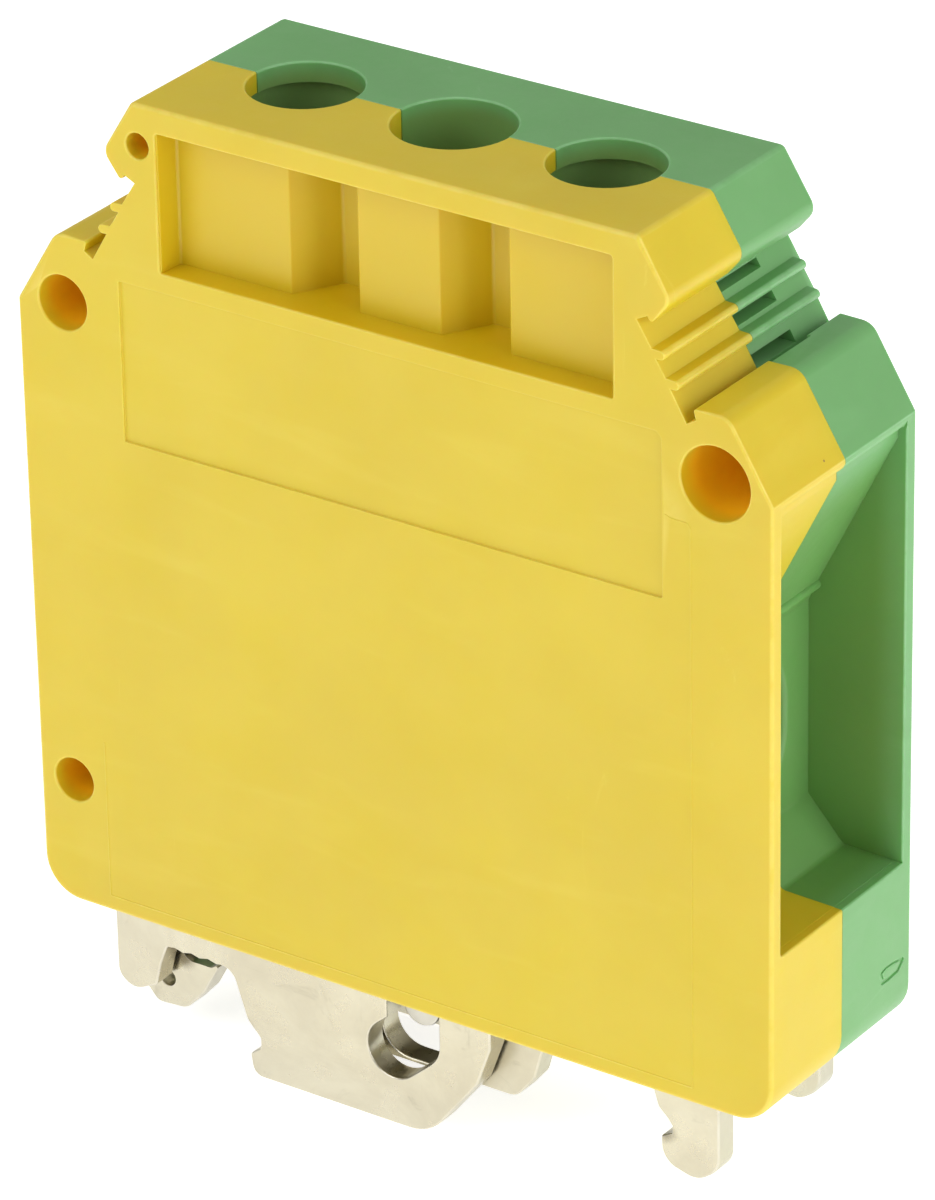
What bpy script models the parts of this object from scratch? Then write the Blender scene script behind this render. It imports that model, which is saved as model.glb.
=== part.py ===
"""DIN-rail earth terminal block, 15.2 mm wide: two moulded shells, two screw clamps and a clamping foot.

Frame: +X along the block, +Y along the rail from the yellow half to the green half, +Z up.
The origin lies on the rail's seat plane, under the middle of the block. Lengths below are millimetres.
"""
import bpy
import bmesh
from math import atan2, cos, pi, radians, sin, tan
from mathutils import Matrix, Vector

MM = 0.001
GAP = 0.3                     # free play between two pieces that touch

# housing
WIDTH = 15.2                  # both halves together
HALF = WIDTH / 2
HALF_LENGTH = 26.3
Z_BOTTOM = 2.3
Z_TOP = 56.55
SIDE_TOP = 42.15              # where the vertical end face meets the sloped shoulder
WALL = 1.0                    # moulded wall beside the wire funnels

# three screw shafts
PITCH = 10.43                 # from one shaft to the next
SHAFT_R = 3.5
FOOT_SHAFT_R = 3.72           # middle shaft, above the foot screw
HEAD_BORE_R = 4.3             # wider bore under the top plate, above each clamp screw
TOP_PLATE = 1.3

# window recess around the shafts
WINDOW_X = 15.75
WINDOW_Z = (46.2, 54.95)
WINDOW_DEPTH = 1.85
POCKET_DEPTH = 4.75
SOCKET_DEPTH = 6.0            # round sockets in the front face
SHAFT_FACE = 2.8              # half width of a shaft's flat face
SHAFT_FLANK = 4.5             # half width where its flanks reach the pocket floor

# current bar and clamping cages
BAR_Z = (27.4, 30.4)
BAR_X = 17.0
BAR_Y = 4.0
CAGE_X = 4.5                  # half length along the wire
CAGE_Y = (4.3, 5.5)           # inner and outer half width
CAGE_Z = (16.0, 17.6, 31.0, 34.5)
CLAMP_R = 2.9                 # M6 clamp screw
CLAMP_HEAD_R = 3.95
CLAMP_HEAD_Z = (49.0, 52.7)
WIRE_R = 4.0                  # half width of the wire's way into the cage
WIRE_Z = (17.6, 27.4)

# foot
PLATE = 1.6
OUTER_FRONT = -6.16           # front face of the outer pair's first plate
INNER_FRONT = -4.25
OUTER_REAR = 4.84
INNER_REAR = 2.94
PIN_Z = 1.15
PIN_DROP = 2.75
JAW_TRAVEL = 1.2
PIN_R = 1.32
CAM_R = 1.9                   # half width of the slots the pin runs in
DRUM_R = 2.6
FOOT_R = 2.4                  # M5 foot screw
FOOT_HEAD_R = 3.15
FOOT_HEAD_Z = (36.0, 39.5)
RIVET_R = 1.2
RIVET_PLAY = 0.15             # radial clearance of a rivet in its hole
RIVET_Z = 7.6
RIVETS = (-16.0, -4.6, 4.6, 19.4)


def clear_scene():
    for item in list(bpy.data.objects):
        bpy.data.objects.remove(item, do_unlink=True)


def material(name, colour, roughness, metallic=0.0):
    made = bpy.data.materials.new(name)
    made.use_nodes = True
    shader = made.node_tree.nodes["Principled BSDF"]
    shader.inputs["Base Color"].default_value = (*colour, 1.0)
    shader.inputs["Roughness"].default_value = roughness
    shader.inputs["Metallic"].default_value = metallic
    made.diffuse_color = (*colour, 1.0)
    return made


def rounded(corners):
    """Outline from (x, z, radius) corners; a radius above zero becomes an arc of short chords."""
    points = []
    count = len(corners)
    for i, (x, z, r) in enumerate(corners):
        here = Vector((x, z))
        if r <= 0:
            points.append(here)
            continue
        back = (Vector(corners[i - 1][:2]) - here).normalized()
        ahead = (Vector(corners[(i + 1) % count][:2]) - here).normalized()
        half = back.angle(ahead) / 2
        reach = r / tan(half)
        centre = here + (back + ahead).normalized() * (r / sin(half))
        start = here + back * reach - centre
        end = here + ahead * reach - centre
        a0 = atan2(start.y, start.x)
        sweep = (atan2(end.y, end.x) - a0 + pi) % (2 * pi) - pi
        steps = max(2, round(abs(sweep) / radians(15)))
        for k in range(steps + 1):
            a = a0 + sweep * k / steps
            points.append(centre + Vector((cos(a), sin(a))) * r)
    return points


def mirrored(right_side):
    """Closed outline from its right-hand corners, listed top to bottom."""
    return right_side + [(-x, z, r) for x, z, r in reversed(right_side)]


def circle(x, z, r, steps=32):
    turns = [2 * pi * k / steps for k in range(steps)]
    return [Vector((x + r * cos(t), z + r * sin(t))) for t in turns]


def slot(x0, z0, x1, z1, r, steps=12):
    """Round-ended slot between two centres."""
    a = atan2(z1 - z0, x1 - x0)
    points = []
    for cx, cz, start in ((x1, z1, a - pi / 2), (x0, z0, a + pi / 2)):
        for k in range(steps + 1):
            t = start + pi * k / steps
            points.append(Vector((cx + r * cos(t), cz + r * sin(t))))
    return points


def finish(bm, name, mat, cutter=False):
    bmesh.ops.recalc_face_normals(bm, faces=bm.faces)
    mesh = bpy.data.meshes.new(name)
    bm.to_mesh(mesh)
    bm.free()
    piece = bpy.data.objects.new(name, mesh)
    bpy.context.scene.collection.objects.link(piece)
    if mat:
        mesh.materials.append(mat)
    if cutter:
        piece.hide_render = True
        piece.display_type = 'WIRE'
    else:
        mesh.shade_smooth()
        mesh.set_sharp_from_angle(angle=radians(32))
    return piece


def extruded(name, outline, y0, y1, mat=None, cutter=False):
    """An outline in the XZ plane drawn out along Y."""
    bm = bmesh.new()
    ring = [bm.verts.new((p.x * MM, y0 * MM, p.y * MM)) for p in outline]
    base = bm.faces.new(ring)
    drawn = bmesh.ops.extrude_face_region(bm, geom=[base])
    moved = [v for v in drawn["geom"] if isinstance(v, bmesh.types.BMVert)]
    bmesh.ops.translate(bm, verts=moved, vec=(0, (y1 - y0) * MM, 0))
    return finish(bm, name, mat, cutter)


def box(name, x, y, z, mat=None, cutter=False):
    corners = [Vector(p) for p in ((x[0], z[0]), (x[1], z[0]), (x[1], z[1]), (x[0], z[1]))]
    return extruded(name, corners, y[0], y[1], mat, cutter)


def turned(name, profile, mat=None, steps=32, axis='Z', at=(0, 0, 0), cutter=False):
    """A profile of (radius, height) pairs, bottom to top, turned about the axis."""
    bm = bmesh.new()
    rings = []
    for r, h in profile:
        ring = []
        for k in range(steps):
            t = 2 * pi * k / steps
            ring.append(bm.verts.new((r * cos(t) * MM, r * sin(t) * MM, h * MM)))
        rings.append(ring)
    for low, high in zip(rings, rings[1:]):
        for k in range(steps):
            j = (k + 1) % steps
            bm.faces.new((low[k], low[j], high[j], high[k]))
    bm.faces.new(list(reversed(rings[0])))
    bm.faces.new(rings[-1])
    if axis == 'Y':
        bmesh.ops.transform(bm, matrix=Matrix.Rotation(-pi / 2, 4, 'X'), verts=bm.verts)
    elif axis == 'X':
        bmesh.ops.transform(bm, matrix=Matrix.Rotation(pi / 2, 4, 'Y'), verts=bm.verts)
    piece = finish(bm, name, mat, cutter)
    piece.location = Vector(at) * MM
    return piece


def cut(piece, cutters, operation='DIFFERENCE'):
    for tool in cutters:
        step = piece.modifiers.new(tool.name, 'BOOLEAN')
        step.operation = operation
        step.solver = 'EXACT'
        step.object = tool


def rivet_hole(name, x):
    """Clearance hole along Y through the whole foot."""
    return turned(name, [(RIVET_R + RIVET_PLAY, -8), (RIVET_R + RIVET_PLAY, 8)], axis='Y', steps=20,
                  at=(x, 0, RIVET_Z), cutter=True)


def on_axis(name, at, pieces):
    """Parent the pieces to an empty that stands on their joint."""
    pivot = bpy.data.objects.new(name, None)
    pivot.empty_display_size = 0.004
    pivot.location = Vector(at) * MM
    bpy.context.scene.collection.objects.link(pivot)
    for piece in pieces:
        piece.parent = pivot
        piece.matrix_parent_inverse = Matrix.Translation(-pivot.location)


def groove_wall(z):
    """X of the label groove's sloping wall at height z."""
    return 17.35 + (51.5 - z) * 0.588


def housing_outline():
    rib = []
    for z in (49.65, 48.05):
        x = groove_wall(z)
        rib += [(x - 0.14, z + 0.35, 0), (x + 0.62, z + 0.28, 0.22)]
        rib += [(x + 0.95, z - 0.28, 0.22), (x + 0.2, z - 0.33, 0)]
    return mirrored([
        (17.45, Z_TOP, 0.5), (19.62, 53.0, 0.9), (18.3, 51.45, 0.2), (18.05, 51.85, 0), (17.35, 51.5, 0),
        *rib, (20.62, 45.94, 0), (21.22, 46.3, 0), (21.05, 46.95, 0.15), (23.35, 47.0, 1.2),
        (HALF_LENGTH, SIDE_TOP, 0.3), (HALF_LENGTH, Z_BOTTOM, 2.6),
    ])


def funnel_outline(side):
    corners = [
        (HALF_LENGTH + 2, SIDE_TOP + 3.7, 0), (20.3, 30.0, 0), (19.75, 28.8, 0),
        (19.75, 16.1, 0), (22.2, 13.4, 0), (HALF_LENGTH + 2, 13.25, 0),
    ]
    return rounded([(side * x, z, r) for x, z, r in corners])


def window_outline(depth_sign):
    """Recess seen from above: pocketed between the three shafts. Returns (x, y) pairs."""
    face = HALF - WINDOW_DEPTH
    floor = HALF - POCKET_DEPTH
    plan = [(-WINDOW_X, HALF + 1), (-WINDOW_X + 0.2, face)]
    for side in (-1, 1):
        a = -PITCH if side < 0 else 0.0
        b = a + PITCH
        plan += [(a + SHAFT_FACE, face), (a + SHAFT_FLANK, floor)]
        plan += [(b - SHAFT_FLANK, floor), (b - SHAFT_FACE, face)]
    plan += [(WINDOW_X - 0.2, face), (WINDOW_X, HALF + 1)]
    return [(x, depth_sign * y) for x, y in plan]


def window_cutter(name, depth_sign):
    bm = bmesh.new()
    low = [bm.verts.new((x * MM, y * MM, WINDOW_Z[0] * MM)) for x, y in window_outline(depth_sign)]
    base = bm.faces.new(low)
    drawn = bmesh.ops.extrude_face_region(bm, geom=[base])
    moved = [v for v in drawn["geom"] if isinstance(v, bmesh.types.BMVert)]
    bmesh.ops.translate(bm, verts=moved, vec=(0, 0, (WINDOW_Z[1] - WINDOW_Z[0]) * MM))
    return finish(bm, name, None, cutter=True)


def housing_cutters():
    """Every hollow both halves share."""
    inner = (-HALF + WALL, HALF - WALL)
    tools = [turned("cut_foot_shaft", [(FOOT_SHAFT_R, 30.0), (FOOT_SHAFT_R, 60.0)], cutter=True)]
    tools.append(box("cut_bar", (-17.4, 17.4), (-4.3, 4.3), (27.1, 30.7), cutter=True))
    tools.append(box("cut_column", (-4.3, 4.3), (-4.3, 4.3), (9.0, 28.0), cutter=True))
    tools.append(box("cut_foot_low", (-22.6, 9.0), (-6.46, 6.74), (0.0, 5.6), cutter=True))
    tools.append(box("cut_hook_low", (16.8, 22.2), (-6.46, 6.74), (0.0, 5.6), cutter=True))
    tools.append(box("cut_foot_high", (-20.0, 22.2), (-6.46, 6.74), (5.0, 10.9), cutter=True))
    for side, word in ((-1, "left"), (1, "right")):
        x = side * PITCH
        tools.append(turned("cut_shaft_" + word, [(SHAFT_R, 50.0), (SHAFT_R, 60.0)], at=(x, 0, 0),
                            cutter=True))
        tools.append(turned("cut_head_" + word, [(HEAD_BORE_R, 40.0), (HEAD_BORE_R, Z_TOP - TOP_PLATE)],
                            at=(x, 0, 0), cutter=True))
        span = sorted((side * 5.6, side * 18.2))
        tools.append(box("cut_cage_" + word, span, (-5.9, 5.9), (15.6, 44.2), cutter=True))
        tools.append(extruded("cut_funnel_" + word, funnel_outline(side), inner[0], inner[1], cutter=True))
        entry = box("cut_wire_" + word, sorted((side * 16.0, side * 21.0)), (-WIRE_R, WIRE_R),
                    (WIRE_Z[0] + WIRE_R, WIRE_Z[1] - WIRE_R), cutter=True)
        tools.append(entry)
        for i, z in enumerate((WIRE_Z[0] + WIRE_R, WIRE_Z[1] - WIRE_R)):
            tools.append(turned("cut_wire_end_%s_%d" % (word, i), [(WIRE_R, -2.5), (WIRE_R, 2.5)], axis='X',
                                at=(side * 18.5, 0, z), cutter=True))
    return tools


def build_housing(yellow, green):
    outline = rounded(housing_outline())
    front = extruded("housing_front", outline, -HALF, -GAP / 2, yellow)
    rear = extruded("housing_rear", outline, GAP / 2, HALF, green)
    shared = housing_cutters()
    cut(front, shared + [window_cutter("cut_window_front", -1)])
    cut(rear, shared + [window_cutter("cut_window_rear", 1)])
    sockets = ((-23.0, 42.55, 1.75), (22.5, 42.7, 2.3), (-23.75, 10.65, 1.43), (-17.05, 53.9, 0.8))
    for i, (x, z, r) in enumerate(sockets):
        socket = circle(x, z, r, 24)
        cut(front, [extruded("cut_socket_%d" % i, socket, -HALF - 1, -HALF + SOCKET_DEPTH, cutter=True)])
    for side, word in ((-1, "left"), (1, "right")):
        for i, (z, half) in enumerate(((50.65, 0.26), (48.85, 0.28), (46.65, 0.36))):
            x = sorted((side * (groove_wall(z) - 1.6), side * (groove_wall(z) + 1.2)))
            cut(rear, [box("cut_label_slot_%s_%d" % (word, i), x, (-1.0, 4.1), (z - half, z + half),
                           cutter=True)])
    return front, rear


def build_current_path(copper, steel, brass):
    bar = box("current_bar", (-BAR_X, BAR_X), (-BAR_Y, BAR_Y), BAR_Z, copper)
    cut(bar, [turned("cut_bar_hole", [(FOOT_R + GAP, 20), (FOOT_R + GAP, 40)], cutter=True)])
    column = box("ground_column", (-4.0, 4.0), (-4.0, 4.0), (10.2, BAR_Z[0] - GAP), brass)
    cut(column, [box("join_tongue", (-6.2, 6.2), (-2.3, 2.5), (5.4, 10.6), cutter=True)], 'UNION')
    cut(column, [turned("cut_column_bore", [(FOOT_R + GAP, 0), (FOOT_R + GAP, 40)], cutter=True)])
    cut(column, [rivet_hole("cut_column_%d" % i, x) for i, x in enumerate(RIVETS[1:3])])
    for side, word in ((-1, "left"), (1, "right")):
        x = side * PITCH
        cage = box("clamp_cage_" + word, (x - CAGE_X, x + CAGE_X), (-CAGE_Y[1], CAGE_Y[1]),
                   (CAGE_Z[0], CAGE_Z[3]), steel)
        cut(cage, [box("cut_cage_eye_" + word, (x - CAGE_X - 1, x + CAGE_X + 1), (-CAGE_Y[0], CAGE_Y[0]),
                       (CAGE_Z[1], CAGE_Z[2]), cutter=True)])
        thread = [(CLAMP_R + GAP, 30), (CLAMP_R + GAP, 36)]
        cut(cage, [turned("cut_cage_thread_" + word, thread, at=(x, 0, 0), cutter=True)])
        on_axis("cage_axis_" + word, (x, 0, CAGE_Z[0]), [cage])
        low, high = CLAMP_HEAD_Z
        screw = turned("clamp_screw_" + word, [
            (2.1, BAR_Z[1] + GAP), (CLAMP_R, BAR_Z[1] + GAP + 0.8), (CLAMP_R, low), (CLAMP_HEAD_R, low),
            (CLAMP_HEAD_R, high - 0.4), (CLAMP_HEAD_R - 0.4, high)], steel, at=(x, 0, 0))
        cut(screw, [box("cut_driver_" + word, (x - 6, x + 6), (-0.6, 0.6), (high - 1.6, high + 2),
                        cutter=True)])
        on_axis("clamp_axis_" + word, (x, 0, BAR_Z[1] + GAP), [screw])


def foot_plates(nickel):
    jaw = rounded([
        (-22.15, 4.9, 0.3), (-22.1, -3.0, 1.1), (-20.9, -3.75, 1.2), (-19.2, -2.9, 0.3), (-18.8, -1.3, 0.2),
        (-18.3, 0.0, 0.3), (-13.4, 0.0, 1.1), (-12.35, -3.2, 1.2), (-11.4, -4.2, 0.3), (-11.4, -4.9, 0.2),
        (-12.2, -5.5, 0.3), (-11.95, -6.95, 0.8), (1.0, -6.95, 2.0), (4.6, -2.4, 1.0), (5.6, 0.3, 1.0),
        (5.6, 4.9, 0.3),
    ])
    catch = rounded([
        (-19.6, 9.9, 0.3), (-19.6, 5.0, 0), (-21.9, 5.0, 0), (-21.9, -3.9, 1.0), (-20.6, -5.4, 0.8),
        (-18.4, -5.25, 1.0), (-17.0, -3.7, 0.8), (-15.7, -1.25, 0.15), (-16.3, -1.9, 0.4),
        (-18.2, -2.0, 0.8), (-18.8, -1.1, 0.2), (-18.8, 0.0, 0), (-10.6, 0.0, 0.8), (-10.0, -3.65, 0.8),
        (6.1, -3.65, 1.2), (7.45, -2.0, 0.8), (8.15, 0.4, 0.8), (8.15, 9.9, 0.3),
    ])
    hook = rounded([
        (-19.6, 9.9, 0.3), (-19.6, 5.3, 0.3), (17.2, 5.3, 0), (17.2, 1.3, 0), (17.5, 0.35, 0.6),
        (18.15, -0.25, 0.3), (18.5, -0.65, 0.1), (18.5, -1.15, 0.1), (17.7, -1.55, 0.2),
        (17.78, -3.2, 1.4), (20.2, -3.85, 1.5), (21.75, -2.7, 1.5), (21.75, 9.9, 0.3),
    ])
    low = PIN_Z - PIN_DROP
    jaws = []
    for word, outer, inner in (("front", OUTER_FRONT, INNER_FRONT), ("rear", OUTER_REAR, INNER_REAR)):
        jaw_plate = extruded("jaw_plate_" + word, jaw, outer, outer + PLATE, nickel)
        for i, line in enumerate(((0, PIN_Z + 0.2, 0, -0.6), (0, -0.6, -JAW_TRAVEL - 0.25, low - 0.26))):
            cut(jaw_plate, [extruded("cut_cam_%s_%d" % (word, i), slot(*line, CAM_R), outer - 1,
                                     outer + PLATE + 1, cutter=True)])
        jaws.append(jaw_plate)
        catch_plate = extruded("catch_plate_" + word, catch, inner, inner + PLATE, nickel)
        for i, line in enumerate(((0, PIN_Z + 0.2, 0, low + 0.15), (0, low + 0.15, -1.65, low + 0.15))):
            cut(catch_plate, [extruded("cut_guide_%s_%d" % (word, i), slot(*line, CAM_R), inner - 1,
                                       inner + PLATE + 1, cutter=True)])
        cut(catch_plate, [extruded("cut_relief_" + word, circle(-19.75, -3.45, 0.55, 16), inner - 1,
                                   inner + PLATE + 1, cutter=True)])
        hook_plate = extruded("hook_plate_" + word, hook, outer, outer + PLATE, nickel)
        for i, x in enumerate(RIVETS):
            hole = rivet_hole("cut_rivet_%s_%d" % (word, i), x)
            cut(hook_plate, [hole])
            if x < 8:
                cut(catch_plate, [hole])
    on_axis("jaw_slide_axis", (0, 0, PIN_Z), jaws)


def build_foot(nickel, steel):
    foot_plates(nickel)
    front, rear = OUTER_FRONT + 0.9, OUTER_REAR + PLATE - 0.9
    inner = (INNER_FRONT + PLATE + GAP, INNER_REAR - GAP)
    pin = turned("cross_pin", [(PIN_R, front), (PIN_R, inner[0]), (DRUM_R, inner[0]), (DRUM_R, inner[1]),
                               (PIN_R, inner[1]), (PIN_R, rear)], steel, axis='Y', at=(0, 0, PIN_Z))
    cut(pin, [turned("cut_pin_seat", [(1.6, PIN_Z), (1.6, 9)], steps=20, cutter=True)])
    screw = turned("foot_screw", [
        (1.3, PIN_Z + GAP), (1.3, PIN_Z + 3.0), (FOOT_R, PIN_Z + 3.6), (FOOT_R, FOOT_HEAD_Z[0]),
        (FOOT_HEAD_R, FOOT_HEAD_Z[0]), (FOOT_HEAD_R, FOOT_HEAD_Z[1] - 0.4),
        (FOOT_HEAD_R - 0.4, FOOT_HEAD_Z[1])], steel)
    cut(screw, [box("cut_driver_foot", (-6, 6), (-0.5, 0.5), (FOOT_HEAD_Z[1] - 1.4, FOOT_HEAD_Z[1] + 2),
                    cutter=True)])
    on_axis("foot_screw_axis", (0, 0, PIN_Z), [screw])
    for i, (x, word) in enumerate(zip(RIVETS, ("end_left", "mid_left", "mid_right", "end_right"))):
        turned("foot_rivet_" + word, [(RIVET_R, OUTER_FRONT + 0.1), (RIVET_R, OUTER_REAR + PLATE - 0.1)],
               steel, axis='Y', steps=20, at=(x, 0, RIVET_Z))
    for x, word, span in ((RIVETS[0], "left", (INNER_FRONT + PLATE + GAP, INNER_REAR - GAP)),
                          (RIVETS[3], "right", (OUTER_FRONT + PLATE + GAP, OUTER_REAR - GAP))):
        tube = turned("foot_spacer_" + word, [(2.2, span[0]), (2.2, span[1])], steel, axis='Y', steps=24,
                      at=(x, 0, RIVET_Z))
        cut(tube, [rivet_hole("cut_spacer_" + word, x)])


def build():
    clear_scene()
    yellow = material("yellow_polyamide", (0.72, 0.58, 0.08), 0.42)
    green = material("green_polyamide", (0.16, 0.42, 0.18), 0.42)
    copper = material("tinned_copper", (0.78, 0.76, 0.71), 0.35, 1.0)
    steel = material("zinc_plated_steel", (0.72, 0.71, 0.68), 0.32, 1.0)
    brass = material("plated_brass", (0.76, 0.73, 0.64), 0.35, 1.0)
    nickel = material("nickel_plated_steel", (0.78, 0.75, 0.66), 0.3, 1.0)
    build_housing(yellow, green)
    build_current_path(copper, steel, brass)
    build_foot(nickel, steel)


build()
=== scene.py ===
"""DIN-rail earth terminal block: moulded shells, stamped foot plates, threaded screws and the studio.

Shapes are in millimetres in the CAD frame: +X along the block, +Y from the yellow half to the green, +Z up.
"""
from math import atan2, cos, pi, radians, sin, tan

import bmesh
import bpy
from mathutils import Matrix, Vector


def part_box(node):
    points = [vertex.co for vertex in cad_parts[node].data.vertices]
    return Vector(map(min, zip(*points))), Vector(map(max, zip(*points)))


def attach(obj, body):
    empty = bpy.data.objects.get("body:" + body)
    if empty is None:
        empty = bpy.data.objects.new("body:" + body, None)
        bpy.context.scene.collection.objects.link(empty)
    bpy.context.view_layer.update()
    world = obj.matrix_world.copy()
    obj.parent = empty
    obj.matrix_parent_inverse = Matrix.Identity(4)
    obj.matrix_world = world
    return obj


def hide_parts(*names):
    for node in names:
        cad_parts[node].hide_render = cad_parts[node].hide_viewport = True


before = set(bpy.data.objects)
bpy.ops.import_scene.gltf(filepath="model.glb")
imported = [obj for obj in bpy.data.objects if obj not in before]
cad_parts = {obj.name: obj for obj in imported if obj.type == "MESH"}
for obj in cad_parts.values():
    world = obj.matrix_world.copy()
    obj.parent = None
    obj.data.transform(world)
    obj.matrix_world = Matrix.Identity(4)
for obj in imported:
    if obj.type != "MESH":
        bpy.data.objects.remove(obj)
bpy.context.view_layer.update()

MM = 0.001


def span(node):
    """Lowest and highest corner of a CAD node, in millimetres."""
    low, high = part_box(node)
    return low / MM, high / MM


# places read from the frame
SHELL_LOW, SHELL_HIGH = span("housing_front")
BACK = span("housing_rear")[1].y
FRONT = SHELL_LOW.y
END = SHELL_HIGH.x
TOP = SHELL_HIGH.z
BOTTOM = SHELL_LOW.z
PITCH = (span("clamp_screw_right")[0].x + span("clamp_screw_right")[1].x) / 2
FLOOR_Z = span("jaw_plate_front")[0].z - 0.02

# chords in a quarter of an edge's rounding, round a turned body and round a screw
ROUND_STEPS = 4
TURN_STEPS = 48
SCREW_STEPS = 40

# curvature, in 1/mm, at which an edge starts to turn pale with rubbing and painted highlight, and at which
# it is fully pale
RUB_GLEAM_SOFT = 1.0
RUB_GLEAM_HARD = 3.0

# outside of the shells
LINE = 0.03                   # height of the raised lines left by mould inserts
LINE_HALF = 0.05              # half of such a line's width
FACE = FRONT + LINE           # the front face lies back so that the lines end on the CAD face
SEAM = 0.015                  # each half stops this far from the middle plane
EDGE = 0.3                    # rounding of the shells' outer edges
FINE = 0.07                   # rounding of small moulded features
RIM = 0.14                    # rounding round windows, bores and sockets
SIDE_TOP = 42.15
LABEL_SLOTS = ((50.65, 0.26), (48.85, 0.28), (46.65, 0.36))    # z and half height
PANEL_LEFT = -21.3
PANEL_RIGHT = 20.85
PANEL_LOW = 3.4
GATE_DEPTH = 0.14
EJECTORS = ((-19.2, 10.5), (19.2, 10.5), (-19.2, 33.5), (19.2, 33.5), (0.0, 22.0))
EJECTOR_R = 1.5
EJECTOR_DEPTH = 0.06

# hollows of the shells
WALL = 1.0
SHAFT_R = 3.5
FOOT_SHAFT_R = 3.72
HEAD_BORE_R = 4.3
TOP_PLATE = 1.3
WINDOW_X = 15.75
WINDOW_Z = (46.2, 54.95)
WINDOW_DEPTH = 1.85
POCKET_DEPTH = 4.75
SHAFT_FACE = 2.8
SHAFT_FLANK = 4.5
# x, z and radius
SOCKETS = ((-23.0, 42.55, 1.75), (22.5, 42.7, 2.3), (-23.75, 10.65, 1.43), (-17.05, 53.9, 0.8))
SOCKET_DEPTH = 6.0
FIELD = ((-18.8, 34.63), (18.94, 44.98))
FIELD_DEPTH = 0.16
FUNNEL_WALL = 19.75           # the flat inner end of a cable funnel
FUNNEL_Z = (13.28, 41.6)
WIRE_R = 4.0
WIRE_Z = (17.6, 27.4)
COLUMN_ROOM = (-4.3, 4.3)
FOOT_ROOM_Y = (-6.46, 6.74)
FOOT_ROOM_X = (-22.6, 9.0)
HOOK_ROOM_X = (16.8, 22.2)

# foot
PIN_Z = 1.15
PIN_DROP = 2.75
JAW_TRAVEL = 1.2
CAM_R = 1.9                   # half width of the slots the pin runs in
PIN_R = 1.32
DRUM_Y = (-2.35, 2.64)        # the pin's thick middle
SPACER_R = 2.2
HOLE_FIT = 0.02               # room round a rivet in a plate
RIVET_R = 1.2
RIVET_Z = 7.6
RIVETS = (-16.0, -4.6, 4.6, 19.4)

# clamps and column
THREAD_DEPTH = 0.36
CLAMP_THREAD_R = 2.9
FOOT_THREAD_R = 2.4
EYE_Y = (-4.3, 4.3)
EYE_Z = (17.6, 31.0)
COLUMN_LOW = 10.2
TONGUE_TOP = 10.6             # the tongue under the column reaches a little into it


# ---------------------------------------------------------------- shapes

def rounded(corners, edge):
    """Points (place, edge rounding) of an outline from (u, v, radius) corners, arcs in short chords.

    A fourth number in a corner sets the rounding of the extruded edge there."""
    points = []
    count = len(corners)
    for i, (u, v, r, *own) in enumerate(corners):
        here = Vector((u, v))
        soft = own[0] if own else edge
        if r <= 0:
            points.append((here, soft))
            continue
        back = (Vector(corners[i - 1][:2]) - here).normalized()
        ahead = (Vector(corners[(i + 1) % count][:2]) - here).normalized()
        half = back.angle(ahead) / 2
        reach = r / tan(half)
        centre = here + (back + ahead).normalized() * (r / sin(half))
        start = here + back * reach - centre
        end = here + ahead * reach - centre
        a0 = atan2(start.y, start.x)
        sweep = (atan2(end.y, end.x) - a0 + pi) % (2 * pi) - pi
        steps = max(3, round(abs(sweep) / radians(9)))
        for k in range(steps + 1):
            a = a0 + sweep * k / steps
            points.append((centre + Vector((cos(a), sin(a))) * r, min(soft, 0.75 * r)))
    return points


def circle(u, v, r, steps=TURN_STEPS):
    turns = [2 * pi * k / steps for k in range(steps)]
    return [(Vector((u + r * cos(t), v + r * sin(t))), 0.0) for t in turns]


def obround(u0, v0, u1, v1, r):
    """Round-ended slot between two centres."""
    steps = 16
    a = atan2(v1 - v0, u1 - u0)
    points = []
    for cu, cv, start in ((u1, v1, a - pi / 2), (u0, v0, a + pi / 2)):
        for k in range(steps + 1):
            t = start + pi * k / steps
            points.append((Vector((cu + r * cos(t), cv + r * sin(t))), 0.0))
    return points


def rectangle(u, v, r=0.0):
    return rounded([(u[0], v[0], r), (u[1], v[0], r), (u[1], v[1], r), (u[0], v[1], r)], 0.0)


def inward(outline):
    """Direction in which each point of an outline moves when the outline shrinks by one."""
    places = [p for p, _ in outline]
    count = len(places)
    area = sum(places[i - 1].x * places[i].y - places[i].x * places[i - 1].y for i in range(count))
    side = 1 if area > 0 else -1
    normals = []
    for i in range(count):
        run = (places[(i + 1) % count] - places[i]).normalized()
        normals.append(Vector((-run.y, run.x)) * side)
    mitres = []
    for i in range(count):
        both = normals[i - 1] + normals[i]
        mitres.append(both / max(1 + normals[i - 1].dot(normals[i]), 0.35))
    return mitres


def placed(p, w, axis):
    return {"X": (w, p.x, p.y), "Y": (p.x, w, p.y), "Z": (p.x, p.y, w)}[axis]


def loft(rings):
    """Closed body through rings that all have the same number of points."""
    bm = bmesh.new()
    made = [[bm.verts.new(Vector(p) * MM) for p in ring] for ring in rings]
    for low, high in zip(made, made[1:]):
        for k in range(len(low)):
            j = (k + 1) % len(low)
            bm.faces.new((low[k], low[j], high[j], high[k]))
    bm.faces.new(list(reversed(made[0])))
    bm.faces.new(made[-1])
    bmesh.ops.recalc_face_normals(bm, faces=bm.faces)
    return bm


def new_object(name, bm):
    mesh = bpy.data.meshes.new(name)
    bm.to_mesh(mesh)
    bm.free()
    made = bpy.data.objects.new(name, mesh)
    bpy.context.scene.collection.objects.link(made)
    return made


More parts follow.
